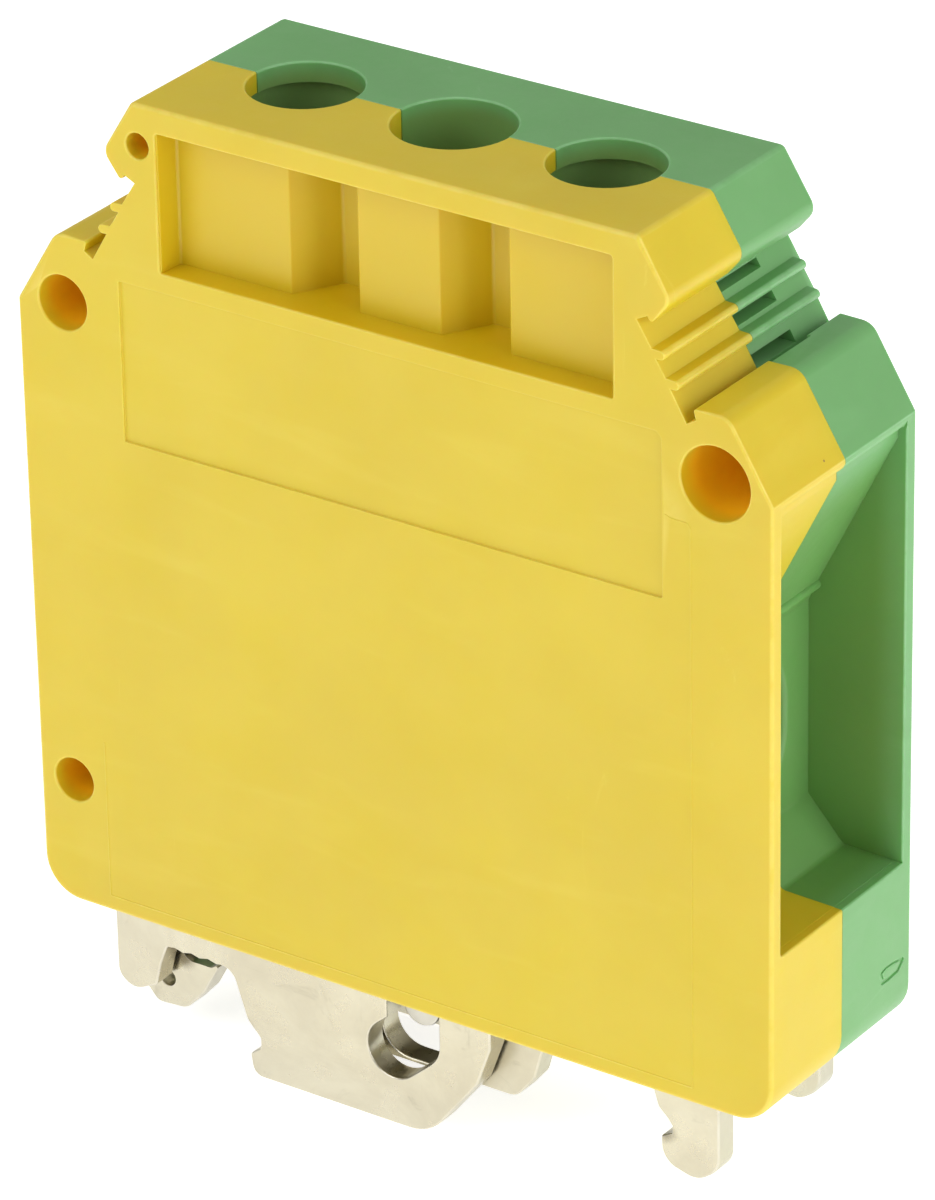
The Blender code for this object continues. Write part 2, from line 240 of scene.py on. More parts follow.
def prism(name, outline, low, high, low_round=1.0, high_round=1.0, axis="Y",
          steps=ROUND_STEPS):
    """An outline drawn out along an axis, its end edges rounded by each point's own rounding."""
    mitres = inward(outline)
    rings = []
    for end, towards, share in ((low, 1, low_round), (high, -1, high_round)):
        turns = [pi / 2 * k / steps for k in range(steps + 1)] if share else [pi / 2]
        made = []
        for a in turns:
            ring = []
            for (p, soft), n in zip(outline, mitres):
                r = soft * share
                ring.append(placed(p + n * r * (1 - sin(a)), end + towards * r * (1 - cos(a)), axis))
            made.append(ring)
        rings += made if towards > 0 else reversed(made)
    return new_object(name, loft(rings))


def tool(name, outline, levels, axis="Y"):
    """A cutter through (place along the axis, how far the ring stands out) levels."""
    mitres = inward(outline)
    rings = [[placed(p - n * out, w, axis) for (p, _), n in zip(outline, mitres)] for w, out in levels]
    return new_object(name, loft(rings))


def lip(at, towards, radius):
    """Levels of a rounded rim, from the open side of a face into the material."""
    turns = [pi / 2 * k / ROUND_STEPS for k in range(ROUND_STEPS + 1)]
    rim = [(at + towards * radius * (1 - cos(a)), radius * (1 - sin(a))) for a in turns]
    return [(at - towards, radius)] + rim


def turned(name, profile, axis="Z", at=(0, 0, 0)):
    """A profile of (radius, height) pairs, bottom to top, turned about the axis."""
    turns = [2 * pi * k / TURN_STEPS for k in range(TURN_STEPS)]
    rings = []
    for r, h in profile:
        rings.append([placed(Vector((r * cos(t), r * sin(t))), h, axis) for t in turns])
    made = new_object(name, loft(rings))
    made.data.transform(Matrix.Translation(Vector(at) * MM))
    return made


def bore(r, low, high):
    """Profile of a round cutter whose rim at the high end is rounded."""
    return [(r, low)] + [(r + out, w) for w, out in reversed(lip(high, -1, RIM))]


def carve(piece, tools, operation="DIFFERENCE"):
    """Cuts with every tool, or joins them, and keeps the resulting mesh."""
    for item in tools:
        step = piece.modifiers.new(item.name, "BOOLEAN")
        step.operation = operation
        step.solver = "EXACT"
        step.object = item
    graph = bpy.context.evaluated_depsgraph_get()
    mesh = bpy.data.meshes.new_from_object(piece.evaluated_get(graph))
    piece.modifiers.clear()
    piece.data = mesh
    for item in tools:
        bpy.data.objects.remove(item, do_unlink=True)
    return piece


def mark_rub_and_highlight(bm):
    """Stores at each point how tightly the surface curves outward there, from 0 to 1, as the mask for rubbed
    edges and their painted highlight.
    """
    layer = bm.verts.layers.float.new("rub_and_highlight")
    for edge in bm.edges:
        if len(edge.link_faces) != 2:
            continue
        turn = edge.calc_face_angle_signed(0.0)
        if turn < 0.05:
            continue
        a, b = (face.calc_center_median() for face in edge.link_faces)
        share = (turn / max((a - b).length / MM, 0.01) - RUB_GLEAM_SOFT) / (RUB_GLEAM_HARD - RUB_GLEAM_SOFT)
        for vert in edge.verts:
            vert[layer] = max(vert[layer], min(share, 1.0))


def finish(piece, material, body, node, angle=34):
    """Smooth shading with flat faces kept flat, material, body and the CAD node it stands for."""
    bm = bmesh.new()
    bm.from_mesh(piece.data)
    bmesh.ops.remove_doubles(bm, verts=bm.verts, dist=0.002 * MM)
    bmesh.ops.dissolve_degenerate(bm, edges=bm.edges, dist=0.001 * MM)
    mark_rub_and_highlight(bm)
    bm.to_mesh(piece.data)
    bm.free()
    piece.data.materials.clear()
    piece.data.materials.append(material)
    piece.data.shade_smooth()
    piece.data.set_sharp_from_angle(angle=radians(angle))
    weighted = piece.modifiers.new("flat_faces", "WEIGHTED_NORMAL")
    weighted.keep_sharp = True
    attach(piece, body)
    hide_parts(node)
    return piece


# ---------------------------------------------------------------- materials

class Graph:
    """Short calls for the nodes of one material."""

    def __init__(self, name):
        self.material = bpy.data.materials.new(name)
        self.material.use_nodes = True
        self.tree = self.material.node_tree
        self.shader = self.tree.nodes["Principled BSDF"]
        self.where = self.add("ShaderNodeTexCoord").outputs["Object"]

    def add(self, kind, **settings):
        node = self.tree.nodes.new(kind)
        for key, value in settings.items():
            setattr(node, key, value)
        return node

    def link(self, source, target):
        self.tree.links.new(source, target)

    def stretched(self, scale):
        """Object coordinates with each axis scaled on its own."""
        node = self.add("ShaderNodeMapping")
        node.inputs["Scale"].default_value = scale
        self.link(self.where, node.inputs["Vector"])
        return node.outputs["Vector"]

    def noise(self, scale, detail=3.0, roughness=0.5, distortion=0.0, vector=None):
        """Cloudy values about 0.5, at object coordinates unless given others."""
        node = self.add("ShaderNodeTexNoise")
        node.inputs["Scale"].default_value = scale
        node.inputs["Detail"].default_value = detail
        node.inputs["Roughness"].default_value = roughness
        node.inputs["Distortion"].default_value = distortion
        self.link(vector or self.where, node.inputs["Vector"])
        return node.outputs["Fac"]

    def band(self, value, low, high, out_low=0.0, out_high=1.0):
        """Smooth step from out_low to out_high while the value goes from low to high."""
        node = self.add("ShaderNodeMapRange", interpolation_type="SMOOTHSTEP")
        node.inputs["From Min"].default_value = low
        node.inputs["From Max"].default_value = high
        node.inputs["To Min"].default_value = out_low
        node.inputs["To Max"].default_value = out_high
        self.link(value, node.inputs["Value"])
        return node.outputs["Result"]

    def maths(self, operation, a, b):
        node = self.add("ShaderNodeMath", operation=operation)
        for i, value in enumerate((a, b)):
            if isinstance(value, (int, float)):
                node.inputs[i].default_value = value
            else:
                self.link(value, node.inputs[i])
        return node.outputs[0]

    def mixed(self, share, a, b):
        """Colour a where share is 0, b where it is 1."""
        node = self.add("ShaderNodeMix", data_type="RGBA")
        self.link(share, node.inputs["Factor"])
        for key, value in ((6, a), (7, b)):
            if isinstance(value, tuple):
                node.inputs[key].default_value = (*value, 1.0)
            else:
                self.link(value, node.inputs[key])
        return node.outputs[2]

    def spot(self, centre, radius, soft):
        """1 near a place in millimetres, falling to 0 outside it."""
        node = self.add("ShaderNodeVectorMath", operation="DISTANCE")
        node.inputs[1].default_value = Vector(centre) * MM
        self.link(self.where, node.inputs[0])
        wobble = self.maths("MULTIPLY", self.noise(900, 4), 0.5 * soft * MM)
        away = self.maths("ADD", node.outputs["Value"], wobble)
        return self.band(away, radius * MM, (radius + soft) * MM, 1.0, 0.0)

    def room(self, x, y, z, soft):
        """1 inside a box in millimetres, mirrored about x = 0, rising from 0 over each side's softness."""
        parts = self.add("ShaderNodeSeparateXYZ")
        self.link(self.where, parts.inputs[0])
        share = None
        for i, (low, high) in enumerate((x, y, z)):
            value = self.maths("ABSOLUTE", parts.outputs[0], 0.0) if i == 0 else parts.outputs[i]
            low, high = low * MM, high * MM
            fade = soft[i] * MM
            rise = self.band(value, low - fade, low)
            fall = self.band(value, high - fade, high, 1.0, 0.0)
            both = self.maths("MULTIPLY", rise, fall)
            share = self.maths("MULTIPLY", share, both) if share else both
        return share

    def pipe(self, x, z, r, y, fade):
        """1 inside a round hole along Y, rising from 0 over the first fade millimetres."""
        node = self.add("ShaderNodeVectorMath", operation="DISTANCE")
        node.inputs[1].default_value = Vector((x, 0, z)) * MM
        self.link(self.stretched((1, 0, 1)), node.inputs[0])
        parts = self.add("ShaderNodeSeparateXYZ")
        self.link(self.where, parts.inputs[0])
        near = self.band(node.outputs["Value"], r * MM, (r + 0.05) * MM, 1.0, 0.0)
        return self.maths("MULTIPLY", near, self.band(parts.outputs[1], y * MM, (y + fade) * MM))

    def rub_and_highlight(self, amount):
        """Rubbed outer edges with a painted edge highlight, broken up along their length."""
        node = self.add("ShaderNodeAttribute", attribute_name="rub_and_highlight")
        patchy = self.band(self.noise(700, 4, 0.6), 0.3, 0.62, 0.4 * amount, amount)
        return self.maths("MULTIPLY", node.outputs["Fac"], patchy)

    def bump(self, layers):
        """Layers of (height, depth in millimetres) one over another."""
        normal = None
        for height, depth in layers:
            node = self.add("ShaderNodeBump")
            node.inputs["Strength"].default_value = 1.0
            node.inputs["Distance"].default_value = depth * MM
            self.link(height, node.inputs["Height"])
            if normal:
                self.link(normal, node.inputs["Normal"])
            normal = node.outputs["Normal"]
        self.link(normal, self.shader.inputs["Normal"])

    def set(self, **values):
        """Constants set straight on the shader's own sockets."""
        for key, value in values.items():
            self.shader.inputs[key.replace("_", " ")].default_value = value


def polyamide(name, colour, deep, pale, worn_and_highlit, speck, glow, places):
    """Moulded polyamide: cloudy pigment, fine pores, dust specks, rubbed patches, pale edges that are partly
    rubbing and partly painted highlight, and painted shade and glow in places.
    """
    g = Graph(name)
    cloud = g.band(g.noise(70, 4, 0.6), 0.3, 0.7)
    tint = g.mixed(cloud, deep, colour)
    streak = g.noise(1.0, 3, 0.5, 0.4, g.stretched((90, 90, 420)))
    tint = g.mixed(g.band(streak, 0.55, 0.8, 0.0, 0.35), tint, pale)
    scuff = g.noise(1.0, 5, 0.7, 1.2, g.stretched((520, 300, 90)))
    tint = g.mixed(g.band(scuff, 0.66, 0.74, 0.0, 0.45), tint, pale)
    cells = g.add("ShaderNodeTexVoronoi", feature="F1")
    cells.inputs["Scale"].default_value = 190
    g.link(g.where, cells.inputs["Vector"])
    dot = g.band(cells.outputs["Distance"], 0.010, 0.018, 1.0, 0.0)
    chosen = g.add("ShaderNodeSeparateColor")
    g.link(cells.outputs["Color"], chosen.inputs["Color"])
    rare = g.band(chosen.outputs["Red"], 0.8, 0.85)
    tint = g.mixed(g.maths("MULTIPLY", dot, rare), tint, speck)
    # pale edges: partly rubbing, partly a painted highlight along convex edges
    tint = g.mixed(g.rub_and_highlight(0.32), tint, worn_and_highlit)
    # painted shade and glow: each place's mask swaps in a darker or deeper colour
    for place, shade in places(g):
        tint = g.mixed(place, tint, shade)
    g.link(tint, g.shader.inputs["Base Color"])
    rubbed = g.band(g.noise(160, 5, 0.65), 0.35, 0.7, 0.4, 0.54)
    g.link(g.maths("ADD", rubbed, g.maths("MULTIPLY", g.noise(5200, 2), 0.06)), g.shader.inputs["Roughness"])
    g.bump([(g.noise(120, 2), 0.015), (g.noise(2600, 4, 0.6), 0.004), (g.noise(11000, 2), 0.0018)])
    g.set(IOR=1.5, Specular_IOR_Level=0.62, Coat_Weight=0.2, Coat_Roughness=0.4)
    g.set(Subsurface_Weight=0.3, Subsurface_Radius=glow, Subsurface_Scale=0.0015)
    return g.material


def plated(name, colour, dull, stain, bright, rough, spots=()):
    """Plated metal: cloudy plate, scratches two ways, faint stains, darker (centre, radius, fade) spots in
    the stain colour, bright edges that are partly rubbing and partly painted highlight.
    """
    g = Graph(name)
    cloud = g.band(g.noise(140, 6, 0.7, 0.6), 0.32, 0.68)
    tint = g.mixed(cloud, dull, colour)
    mark = g.band(g.noise(380, 5, 0.65, 1.2), 0.6, 0.75, 0.0, 0.3)
    tint = g.mixed(mark, tint, stain)
    # darker spots in the stain colour round the given centres
    for centre, radius, soft in spots:
        tint = g.mixed(g.spot(centre, radius, soft), tint, stain)
    # bright edges: partly rubbing, partly a painted highlight along convex edges
    tint = g.mixed(g.rub_and_highlight(0.45), tint, bright)
    g.link(tint, g.shader.inputs["Base Color"])
    scratch = g.noise(1.0, 4, 0.65, 0.2, g.stretched((260, 900, 5200)))
    across = g.noise(1.0, 3, 0.6, 0.3, g.stretched((3800, 900, 330)))
    cut = g.maths("MAXIMUM", g.band(scratch, 0.63, 0.72), g.band(across, 0.66, 0.74))
    polish = g.band(g.noise(330, 5, 0.6), 0.3, 0.75, rough - 0.07, rough + 0.12)
    g.link(g.maths("ADD", polish, g.maths("MULTIPLY", cut, 0.12)), g.shader.inputs["Roughness"])
    g.bump([(g.noise(170, 3), 0.02), (g.noise(2400, 4, 0.6), 0.0018), (cut, 0.0012)])
    g.set(Metallic=1.0)
    return g.material


def copper_tin(name):
    """Dull tin over copper, warm where the tin is thin."""
    g = Graph(name)
    thin = g.band(g.noise(240, 6, 0.7, 0.8), 0.62, 0.8, 0.0, 0.6)
    tint = g.mixed(g.band(g.noise(90, 3), 0.3, 0.7), (0.62, 0.60, 0.56), (0.76, 0.74, 0.69))
    g.link(g.mixed(thin, tint, (0.62, 0.40, 0.26)), g.shader.inputs["Base Color"])
    g.link(g.band(g.noise(420, 4, 0.6), 0.3, 0.7, 0.32, 0.5), g.shader.inputs["Roughness"])
    grain = g.noise(2200, 4, 0.6)
    rolled = g.noise(1.0, 3, 0.5, 0.0, g.stretched((150, 2600, 900)))
    g.bump([(grain, 0.004), (rolled, 0.002)])
    g.set(Metallic=1.0)
    return g.material


def yellow_painted_light(g):
    """Painted shade darkening the window's recess, and a painted orange glow in the sockets standing for
    light through their thin walls, as (mask, colour) pairs.
    """
    tall = (WINDOW_Z[0] - 0.1, WINDOW_Z[1] + 0.1)
    # painted shade: the window's recess drawn darker than the front face
    window = g.room((-1.0, WINDOW_X + 0.2), (-7.3, -2.5), tall, (0.1, 0.3, 0.1))
    # painted glow: the sockets drawn a deeper orange
    sockets = [(g.pipe(x, z, r + 0.02, FACE + 0.1, 1.6), (0.96, 0.59, 0.008)) for x, z, r in SOCKETS]
    return [(window, (0.67, 0.485, 0.003)), *sockets]


def green_painted_shade(g):
    """Painted shade on the insides of the cable funnels and of the three screw shafts, as (mask, colour)
    pairs.
    """
    # painted shade: the funnel and shaft insides drawn a darker green
    funnel = g.room((19.4, END - 0.3), (-BACK, 6.75), (13.0, 42.0), (2.0, 0.1, 0.2))
    shafts = g.room((-1.0, 16.8), (-4.6, 4.6), (10.0, TOP - 0.15), (0.3, 0.1, 1.0))
    return [(funnel, (0.132, 0.325, 0.078)), (shafts, (0.165, 0.33, 0.085))]


YELLOW = polyamide(
    "yellow_polyamide", colour=(0.695, 0.53, 0.010), deep=(0.66, 0.492, 0.007), pale=(0.735, 0.585, 0.04),
    worn_and_highlit=(0.90, 0.78, 0.20), speck=(0.30, 0.17, 0.03), glow=(1.0, 0.45, 0.04), places=yellow_painted_light)
GREEN = polyamide(
    "green_polyamide", colour=(0.165, 0.41, 0.140), deep=(0.145, 0.375, 0.120), pale=(0.21, 0.48, 0.19),
    worn_and_highlit=(0.38, 0.66, 0.38), speck=(0.06, 0.12, 0.05), glow=(0.3, 1.0, 0.35), places=green_painted_shade)
NICKEL = plated(
    "nickel_plate", colour=(0.64, 0.605, 0.48), dull=(0.57, 0.53, 0.415), stain=(0.30, 0.27, 0.20),
    bright=(0.80, 0.77, 0.68), rough=0.3,
    spots=(((-18.4, -4.0, -1.5), 0.5, 0.9), ((18.0, -6.0, -1.2), 0.4, 0.8)))
ZINC = plated(
    "zinc_plate", colour=(0.60, 0.585, 0.53), dull=(0.52, 0.50, 0.44), stain=(0.30, 0.28, 0.24),
    bright=(0.80, 0.79, 0.75), rough=0.36)
BRASS = plated(
    "plated_brass", colour=(0.78, 0.74, 0.62), dull=(0.68, 0.62, 0.47), stain=(0.40, 0.33, 0.20),
    bright=(0.85, 0.72, 0.42), rough=0.33)
TIN = copper_tin("tinned_copper")


# ---------------------------------------------------------------- shells

def mirrored(right_side):
    """Closed outline from its right-hand corners, listed top to bottom."""
    return right_side + [(-c[0], *c[1:]) for c in reversed(right_side)]


def groove_wall(z):
    """X of the label groove's sloping wall at height z."""
    return 17.35 + (51.5 - z) * 0.588


def shell_outline():
    """Both halves seen from the front, with the label grooves and their two ribs a side."""
    rib = []
    for z in (49.65, 48.05):
        x = groove_wall(z)
        rib += [(x - 0.12, z + 0.31, 0, FINE), (x + 0.62, z + 0.27, 0.27, FINE)]
        rib += [(x + 0.93, z - 0.27, 0.27, FINE), (x + 0.18, z - 0.29, 0, FINE)]
    return rounded(mirrored([
        (17.45, TOP, 0.5), (19.62, 53.0, 0.9, 0.2), (18.3, 51.45, 0.2, FINE), (18.05, 51.85, 0, FINE),
        (17.35, 51.5, 0, FINE), *rib, (20.62, 45.94, 0, FINE), (21.22, 46.3, 0, FINE),
        (21.05, 46.95, 0.15, FINE), (23.35, 47.0, 1.2, 0.2), (END, SIDE_TOP, 0.3, 0.2), (END, BOTTOM, 2.6),
    ]), EDGE)


def funnel_outline(side):
    """A cable funnel seen from the front, with its sloping roof and floor."""
    corners = [
        (END + 2, SIDE_TOP + 3.7, 0), (20.3, 30.0, 0.35), (FUNNEL_WALL, 28.8, 0.4),
        (FUNNEL_WALL, 16.1, 0.5), (22.2, 13.4, 0.5), (END + 2, 13.25, 0),
    ]
    return rounded([(side * u, v, r) for u, v, r in corners], 0.0)


def window_plan(depth_sign):
    """Recess seen from above, pocketed between the three shafts."""
    face = BACK - WINDOW_DEPTH
    floor = BACK - POCKET_DEPTH
    plan = [(-WINDOW_X, BACK + 1, 0), (-WINDOW_X + 0.2, face, 0.2)]
    for side in (-1, 1):
        a = -PITCH if side < 0 else 0.0
        b = a + PITCH
        plan += [(a + SHAFT_FACE, face, 0.15), (a + SHAFT_FLANK, floor, 0.3)]
        plan += [(b - SHAFT_FLANK, floor, 0.3), (b - SHAFT_FACE, face, 0.15)]
    plan += [(WINDOW_X - 0.2, face, 0.2), (WINDOW_X, BACK + 1, 0)]
    return rounded([(u, depth_sign * v, r) for u, v, r in plan], 0.0)


def block_tool(name, x, y, z, r=0.0):
    """A box cutter, its upright edges rounded by r."""
    return tool(name, rectangle(x, y, r), [(z[0], 0), (z[1], 0)], axis="Z")


def shell_tools(depth_sign, face_y, shrink):
    """Every hollow both halves share; shrink makes one half's top bores a little smaller."""
    inner = (FRONT + WALL, BACK - WALL)
    tools = [
        turned("t_foot", bore(FOOT_SHAFT_R - shrink, 30.0, TOP)),
        block_tool("t_bar", (-17.4, 17.4), COLUMN_ROOM, (27.1, 30.7)),
        block_tool("t_column", COLUMN_ROOM, COLUMN_ROOM, (9.0, 28.0)),
        block_tool("t_foot_low", FOOT_ROOM_X, FOOT_ROOM_Y, (0.0, 5.6), 0.4),
        block_tool("t_hook_low", HOOK_ROOM_X, FOOT_ROOM_Y, (0.0, 5.6), 0.4),
        block_tool("t_foot_high", (-20.0, HOOK_ROOM_X[1]), FOOT_ROOM_Y, (5.0, 10.9)),
    ]
    for side in (-1, 1):
        x = side * PITCH
        tools.append(turned("t_shaft", bore(SHAFT_R - shrink, 50.0, TOP), at=(x, 0, 0)))
        tools.append(turned("t_head", [(HEAD_BORE_R, 40.0), (HEAD_BORE_R, TOP - TOP_PLATE)], at=(x, 0, 0)))
        tools.append(block_tool("t_cage", sorted((side * 5.6, side * 18.2)), (-5.9, 5.9), (15.6, 44.2)))
        tools.append(tool("t_funnel", funnel_outline(side), [(inner[0], 0), (inner[1], 0)]))
        mouth = rectangle(inner, FUNNEL_Z, 0.3)
        mouth_levels = [(side * (END - 0.6), -0.02)] + lip(side * END, -side, RIM)[::-1]
        tools.append(tool("t_mouth", mouth, mouth_levels, axis="X"))
        entry = obround(0, WIRE_Z[0] + WIRE_R, 0, WIRE_Z[1] - WIRE_R, WIRE_R)
        entry_levels = [(side * 16.0, 0)] + lip(side * FUNNEL_WALL, -side, 0.5)[::-1]
        tools.append(tool("t_wire", entry, entry_levels, axis="X"))
    tools.append(tool("t_window", window_plan(depth_sign), [(WINDOW_Z[0], 0), (WINDOW_Z[1], 0)], axis="Z"))
    rim = rectangle((-WINDOW_X, WINDOW_X), WINDOW_Z, 0.25)
    tools.append(tool("t_window_rim", rim, lip(face_y, -depth_sign, RIM)))
    return tools


def witness_line(run):
    """Hair-fine raised line left by a mould insert on the front face, through (x, z) points."""
    left = []
    right = []
    for i, (x, z) in enumerate(run):
        here = Vector((x, z))
        before = Vector(run[max(i - 1, 0)])
        after = Vector(run[min(i + 1, len(run) - 1)])
        along = (after - before).normalized()
        across = Vector((-along.y, along.x)) * LINE_HALF
        left.append((here + across, LINE))
        right.append((here - across, LINE))
    outline = left + right[::-1]
    return prism("t_line", outline, FACE - LINE, FACE + 0.3, 1.0, 0.0, steps=2)


def build_front_shell():
    piece = prism("shell_front", shell_outline(), FACE, -SEAM, 1.0, 0.12)
    tools = shell_tools(-1, FACE, 0.0)
    for x, z, r in SOCKETS:
        depth = [(FACE + SOCKET_DEPTH, -0.12), (FACE + SOCKET_DEPTH - 0.12, 0)]
        tools.append(tool("t_socket", circle(x, z, r), depth + lip(FACE, 1, RIM)[::-1]))
    (x0, z0), (x1, z1) = FIELD
    field = rounded([(x0, z0, 0.12), (x1, z0, 0.12), (x1, z1 - 0.35, 0.25), (x1 - 0.35, z1, 0.25),
                     (x0, z1, 0.12)], 0.0)
    field_levels = [(FACE + FIELD_DEPTH, -0.05), (FACE + FIELD_DEPTH - 0.05, 0)] + lip(FACE, 1, 0.05)[::-1]
    tools.append(tool("t_field", field, field_levels))
    carve(piece, tools)
    panel = [
        [(x1 + 0.2, 39.95), (19.6, 39.8), (20.65, 39.78), (PANEL_RIGHT, 39.5), (PANEL_RIGHT, PANEL_LOW)],
        [(PANEL_RIGHT, PANEL_LOW), (PANEL_LEFT, PANEL_LOW)],
        [(PANEL_LEFT, PANEL_LOW), (PANEL_LEFT, 13.9)],
    ]
    carve(piece, [witness_line(run) for run in panel], "UNION")
    return finish(piece, YELLOW, "block", "housing_front")


def build_rear_shell():
    piece = prism("shell_rear", shell_outline(), SEAM, BACK, 0.12, 1.0)
    tools = shell_tools(1, BACK, 0.05)
    for side in (-1, 1):
        for z, half in LABEL_SLOTS:
            x = sorted((side * (groove_wall(z) - 2.4), side * (groove_wall(z) + 1.2)))
            slot = rectangle(x, (z - half, z + half), 0.06)
            tools.append(tool("t_label_slot", slot, [(-1.0, 0), (4.1, 0)]))
        ends = ((50.3, 0.02), (47.4, 0.02), (47.4, 1.4), (50.3, 1.4))
        wall = [(side * (groove_wall(z) + d), z, 0) for z, d in ends]
        tools.append(tool("t_rib_end", rounded(wall, 0.0), [(BACK - 0.5, 0), (BACK + 1, 0)]))
    leaf = [(4.1, 7.0), (4.4, 6.15), (5.2, 6.1), (6.3, 6.2), (6.9, 6.75), (6.75, 6.95), (5.8, 7.15),
            (4.75, 7.2)]
    gate = rounded([(y, z, 0.1) for y, z in leaf], 0.06)
    tools.append(tool("t_gate", gate, [(END - GATE_DEPTH, 0)] + lip(END, -1, 0.06)[::-1], axis="X"))
    for x, z in EJECTORS:
        ejector_levels = [(BACK - EJECTOR_DEPTH, 0)] + lip(BACK, -1, 0.05)[::-1]
        tools.append(tool("t_ejector", circle(x, z, EJECTOR_R, 40), ejector_levels))
    carve(piece, tools)
    stub = rounded([(5.5 + 0.72 * (y - 5.5), 6.7 + 0.6 * (z - 6.7), 0.05) for y, z in leaf], 0.06)
    carve(piece, [prism("t_stub", stub, END - 0.3, END - 0.03, 0.0, 1.0, axis="X")], "UNION")
    bead_end = BACK - WALL + 0.3
    beads = [prism("t_bead", circle(side * 20.22, 29.95, 0.36, 20), 0.6, bead_end, 0, 0) for side in (-1, 1)]
    carve(piece, beads, "UNION")
    return finish(piece, GREEN, "block", "housing_rear")


# ---------------------------------------------------------------- foot

def slot_tool(line, low, high):
    """Cutter for a slot the pin runs in, along (x, z, x, z), rolled in front and crisp behind."""
    return tool("t_slot", obround(*line, CAM_R), lip(low, 1, 0.12) + lip(high, -1, 0.06)[::-1])


def hole_tool(x, z, r, low, high):
    return tool("t_hole", circle(x, z, r, 32), lip(low, 1, 0.08) + lip(high, -1, 0.04)[::-1])


def stamped(name, corners, node, body, slots, holes):
    """A plate punched from sheet: rolled edge on the front side, crisp on the back."""
    low, high = span(node)
    piece = prism(name, rounded(corners, 0.14), low.y, high.y, 1.0, 0.45)
    tools = [slot_tool(line, low.y, high.y) for line in slots]
    tools += [hole_tool(x, z, r, low.y, high.y) for x, z, r in holes]
    carve(piece, tools)
    return finish(piece, NICKEL, body, node)


def build_plates():
    """Jaw, catch and hook plates; the front ones as photographed, the rear ones alike."""
    low = PIN_Z - PIN_DROP
    seat = [(-18.3 + 0.62 * k, 0.15 * (k % 2), 0.06, 0.04) for k in range(1, 7)]
    jaw = [
        (-22.15, 4.9, 0.3), (-22.1, -3.0, 1.1), (-20.9, -3.75, 1.2), (-19.2, -2.9, 0.3), (-18.8, -1.3, 0.2),
        (-18.3, 0.0, 0.2), *seat, (-13.4, 0.0, 1.1), (-12.35, -3.2, 1.2), (-11.4, -4.2, 0.3),
        (-11.4, -4.9, 0.2), (-12.2, -5.5, 0.3), (-11.95, -6.95, 0.8), (1.0, -6.95, 3.0), (4.6, -2.4, 1.0),
        (5.6, 0.3, 1.0), (5.6, 4.9, 0.3),
    ]
    catch = [
        (-19.6, 9.9, 0.3), (-19.6, 5.0, 0), (-21.9, 5.0, 0), (-21.9, -3.9, 1.0), (-20.6, -5.4, 0.8),
        (-18.4, -5.25, 1.2), (-17.0, -3.7, 1.4), (-15.7, -1.3, 0.12, 0.02), (-16.4, -1.75, 0.6, 0.02),
        (-18.1, -1.75, 0.8, 0.03), (-18.8, -1.0, 0.2, 0.04), (-18.8, 0.0, 0), (-10.6, 0.0, 0.8),
        (-10.0, -3.65, 0.8), (6.1, -3.65, 1.2), (7.45, -2.0, 0.8), (8.15, 0.4, 0.8), (8.15, 9.9, 0.3),
    ]
    hook = [
        (-19.6, 9.9, 0.3), (-19.6, 5.3, 0.3), (17.2, 5.3, 0), (17.2, 1.3, 0), (17.5, 0.35, 0.6),
        (18.15, -0.25, 0.3), (18.5, -0.65, 0.1), (18.5, -1.15, 0.1), (17.7, -1.55, 0.2),
        (17.78, -3.2, 1.4), (20.2, -3.85, 1.5), (21.75, -2.7, 1.5), (21.75, 9.9, 0.3),
    ]
    cam = ((0, PIN_Z + 0.2, 0, -0.6), (0, -0.6, -JAW_TRAVEL - 0.25, low - 0.26))
    guide = ((0, PIN_Z + 0.2, 0, low + 0.15), (0, low + 0.15, -1.65, low + 0.15))
    rivets = [(x, RIVET_Z, RIVET_R + HOLE_FIT) for x in RIVETS]
    for word in ("front", "rear"):
        stamped("stamped_jaw_" + word, jaw, "jaw_plate_" + word, "jaw", cam, [])
        stamped("stamped_catch_" + word, catch, "catch_plate_" + word, "block", guide,
                [(-19.75, -3.45, 0.55)] + rivets[:3])
        stamped("stamped_hook_" + word, hook, "hook_plate_" + word, "block", [], rivets)


def chamfered(r, low, high, size):
    """Profile of a round bar with softly bevelled ends."""
    return [(r - size, low), (r - size * 0.3, low + size * 0.3), (r, low + size), (r, high - size),
            (r - size * 0.3, high - size * 0.3), (r - size, high)]


